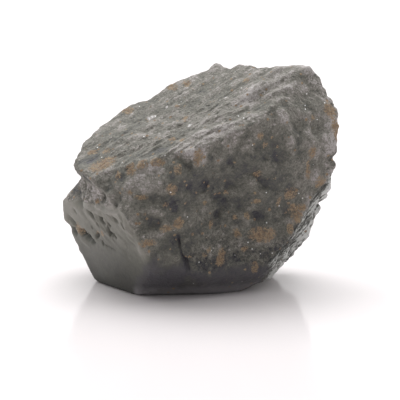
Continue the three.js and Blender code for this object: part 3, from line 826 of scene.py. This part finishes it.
def own_number(scale, channel):
    """A number from 0 to 1 that is each cell's own: a channel of its colour."""
    return wires.node("ShaderNodeSeparateColor", None, {"Color": cells(scale, "Color")}, channel)


def drawn_out(axis, along, across):
    """Places in an axis's own frame, shrunk along and across it by these lengths."""
    dots = [wires.node("ShaderNodeVectorMath", {"operation": "DOT_PRODUCT"},
                       {0: here, 1: tuple(way)}, "Value") for way in frame_along(axis).T]
    shrunk = [dot * (1 / length) for dot, length in zip(dots, (along, across, across))]
    return wires.node("ShaderNodeCombineXYZ", None, dict(zip("XYZ", shrunk)))


def in_tones(stops):
    """The tone as a colour: stops are pairs of a tone and its colour."""
    return wires.node("ShaderNodeValToRGB", {"stops": stops}, {"Fac": tone})


polished_mark = mark("polished")
top_mark = mark("top")
fibrous_mark = mark("fibrous")
crumbly_mark = mark("crumbly")
tone_mark = mark("tone")
rough_mark = 1 - polished_mark

# Noise in mm, or in the streaks' and the ribs' own frames.
mottle = cloud(here, 0.5, 4.0, 0.6)
blotch = cloud(here, 1.5, 3.0, 0.6)
pebbles = cloud(here, 2.6, 2.0, 0.5)
grain = cloud(here, 4.5, 2.0, 0.6)
flour = cloud(here, 9.0, 1.0, 0.5)
sugar = own_number(SUGAR_CELLS, "Red")
along_top = cloud(drawn_out(LONG_AXIS, 2.5, 0.35), 1.0, 3.0, 0.6)
along_ribs = cloud(drawn_out(RIB_AXIS, 2.0, 0.2), 1.0, 3.0, 0.65)

# Tone: speckled all over, less so in the calm dark hollows and on the polished faces.
speckle = mottle.above(0.4, 0.6) * 0.13 + blotch.above(0.4, 0.6) * 0.13 + (grain - 0.5) * 0.7 - 0.13
speckle = speckle + sugar.above(0.92, 0.96) * 0.18 - sugar.above(0.1, 0.05) * 0.1
speckle = speckle + (flour - 0.5) * 0.35
calm = tone_mark.above(0.65, 0.35) * SPECKLE_CALM
# Pale streaks along the ribs: partly pale fibres, partly painted sheen.
rib_streaks_and_sheen = along_ribs.above(0.49, 0.59) * 0.5 - along_ribs.above(0.48, 0.38) * 0.3
strength = rough_mark * (SPECKLE_ROUGH - calm) + crumbly_mark * SPECKLE_CRUMBLY + SPECKLE_LEAST
tone = tone_mark + speckle * strength
tone = tone + (pebbles - 0.5) * crumbly_mark * 0.6
tone = tone + (along_top - 0.5) * top_mark * 0.45
tone = tone + rib_streaks_and_sheen * fibrous_mark

# Stone: the fibrous side's border frays along its ribs.
frayed = fibrous_mark + (along_ribs - 0.5) * (1 - fibrous_mark) * fibrous_mark * 8
color = mark("cleaved").blend(in_tones(STONE_TONES), in_tones(CLEAVED_TONES))
color = frayed.above(0.1, 0.9).blend(color, in_tones(FIBRE_TONES))
# The bevels' dark colour, partly their own and partly painted shade.
color = (mark("bevelled") * (BEVEL_STRENGTH + (grain - 0.5) * 1.2)).blend(color, BEVEL_COLOR)
# Painted light: the bevels paler at the foot, against the contact shadow there.
color = (mark("shaded") * FOOT_LIGHT_STRENGTH).blend(color, BEVEL_PAINTED_LIGHT)

# Rust: ragged stains with a faint halo, and a freckle in some of the cells.
freckled = own_number(FRECKLE_CELLS, "Blue").above(*FRECKLED)
freckles = cells(FRECKLE_CELLS).above(0.4, 0.2) * freckled * rough_mark
rust_near = mark("stained") + freckles
rust_shape = rust_near + (blotch - 0.5) * 1.3 + (grain - 0.5) * 2.6 + (flour - 0.5) * 2.4
rust_shape = rust_shape + (sugar - 0.5) * 0.9 + (along_top - 0.5) * top_mark * 2
rusty = rust_shape.above(*RUST_EDGE) * rust_near.above(0.02, 0.2)
rust = (grain.above(0.55, 0.4) * 0.75 + top_mark * 0.3).blend(RUST, RUST_DARK)
rust = ((flour + pebbles).above(0.98, 1.15) * 0.8).blend(rust, RUST_TAN)
color = (rust_near.above(0, 0.7) * RUST_HALO).blend(color, RUST)
color = rusty.blend(color, rust)

# Painted glints: near-white spots on a mica flake in a few of the cells, and on the palest patches.
glinting_flake = own_number(FLAKE_CELLS, "Green").above(*GLINTING_FLAKES)
painted_glint = cells(FLAKE_CELLS).above(0.3, 0.18) * glinting_flake * rough_mark
painted_glint = painted_glint + tone_mark.above(*PAINTED_GLINT_TONE) * flour.above(0.4, 0.55)
color = painted_glint.blend(color, PAINTED_GLINT)

# Relief and gloss: grains on the broken stone, streaks on the top, ribs on the fibrous side.
height = (grain * 0.6 + cells(CRUMB_CELLS) * 0.4 + flour * 0.3) * rough_mark
height = height + along_top * top_mark * 0.8
height = height + along_ribs * fibrous_mark * 1.2 + grain * polished_mark * 0.18
bump = wires.node("ShaderNodeBump", None,
                  {"Strength": 1.0, "Distance": BUMP_DEPTH, "Height": height}, "Normal")
dullness = DULLNESS - polished_mark * POLISH - fibrous_mark * SILK + (grain - 0.5) * 0.3
dullness = dullness + rusty * RUST_DULLER - painted_glint * FLAKE_GLOSS
shader = wires.node("ShaderNodeBsdfPrincipled", None,
                    {"Base Color": color, "Roughness": dullness, "Normal": bump,
                     "Specular IOR Level": SHINE})
wires.node("ShaderNodeOutputMaterial", None, {"Surface": shader})
skin.materials.append(finish)

# ---- The table ----------------------------------------------------------------------------
# Not part of the object: a glossy white table top that the stone stands on. It mirrors the
# stone faintly.

TABLE_HALF = 1.5          # half its width, metres
TABLE_DROP = 0.00001      # how far it lies below the foot, so that the two never meet
TABLE_WHITE = (0.85, 0.816, 0.828)
TABLE_ROUGHNESS = 0.12
TABLE_SHINE = 0.09

table_top = bpy.data.meshes.new("table_top")
table_edge = [(x * TABLE_HALF, y * TABLE_HALF, 0) for x, y in [(-1, -1), (1, -1), (1, 1), (-1, 1)]]
table_top.from_pydata(table_edge, [], [(0, 1, 2, 3)])
table = bpy.data.objects.new("table", table_top)
table.location.z = -TABLE_DROP
bpy.context.collection.objects.link(table)
table_finish, table_wires = new_material("table_finish")
table_shader = table_wires.node("ShaderNodeBsdfPrincipled", None,
                                {"Base Color": (*TABLE_WHITE, 1), "Roughness": TABLE_ROUGHNESS,
                                 "Specular IOR Level": TABLE_SHINE})
table_wires.node("ShaderNodeOutputMaterial", None, {"Surface": table_shader})
table_top.materials.append(table_finish)

# ---- Light --------------------------------------------------------------------------------
# A white tent with one large soft lamp above: white all round, brightest from the top and
# darker on the side of its open front.

TENT_COLOR = (1, 0.99, 0.985)
TENT_LEVEL = 1.2                   # brightness of the tent at table level
TENT_TOP = 0.6                     # how much brighter it is straight above
TENT_FRONT = 1.0                   # how much darker it is at the open front
OPEN_FRONT = (-0.35, 0.55)         # where that starts and where it is whole, from -1 to 1
LAMP_PLACE = (-0.03, 0.1, 0.28)    # metres
LAMP_TURN = (-0.34, -0.1, 0)       # radians
LAMP_SIZE = 0.25
LAMP_WATTS = 0.45

tent = bpy.data.worlds.new("tent")
tent.use_nodes = True
tent.node_tree.nodes.clear()
sky = Wire(tent.node_tree)
direction = sky.node("ShaderNodeTexCoord", output="Generated")
height_above = sky.node("ShaderNodeSeparateXYZ", None, {"Vector": direction}, "Z")
towards_front = sky.node("ShaderNodeSeparateXYZ", None, {"Vector": direction}, "Y") * -1
brightness = TENT_LEVEL + height_above * height_above * TENT_TOP
brightness = brightness - towards_front.above(*OPEN_FRONT) * TENT_FRONT
background = sky.node("ShaderNodeBackground", None,
                      {"Color": (*TENT_COLOR, 1), "Strength": brightness})
sky.node("ShaderNodeOutputWorld", None, {"Surface": background})
bpy.context.scene.world = tent

lamp = bpy.data.lights.new("lamp", "AREA")
lamp.shape = "SQUARE"
lamp.size = LAMP_SIZE
lamp.energy = LAMP_WATTS
overhead = bpy.data.objects.new("overhead", lamp)
overhead.location = LAMP_PLACE
overhead.rotation_euler = LAMP_TURN
bpy.context.collection.objects.link(overhead)
bpy.context.scene.view_settings.view_transform = "Standard"

# ---- Camera -------------------------------------------------------------------------------
# A long lens a little above the stone, looking at its front. The lens is worked out from
# what the picture spans.

CAMERA_ELEVATION = 12          # degrees above level
CAMERA_DISTANCE = 0.3          # from the aim, metres
CAMERA_NEAREST = 0.01          # what is nearer than this isn't shown
CAMERA_AIM = (0.000095, -0.00005, 0.009416)
VIEW_WIDTH = 0.04315           # what the picture spans at the aim, metres
SENSOR_WIDTH = 36              # millimetres

lens = bpy.data.cameras.new("camera")
lens.sensor_width = SENSOR_WIDTH
lens.lens = SENSOR_WIDTH * CAMERA_DISTANCE / VIEW_WIDTH
lens.clip_start = CAMERA_NEAREST
camera = bpy.data.objects.new("camera", lens)
lift_angle = np.radians(CAMERA_ELEVATION)
camera.location = (CAMERA_AIM[0], CAMERA_AIM[1] - CAMERA_DISTANCE * np.cos(lift_angle),
                   CAMERA_AIM[2] + CAMERA_DISTANCE * np.sin(lift_angle))
camera.rotation_euler = (np.pi / 2 - lift_angle, 0, 0)
bpy.context.collection.objects.link(camera)
bpy.context.scene.camera = camera
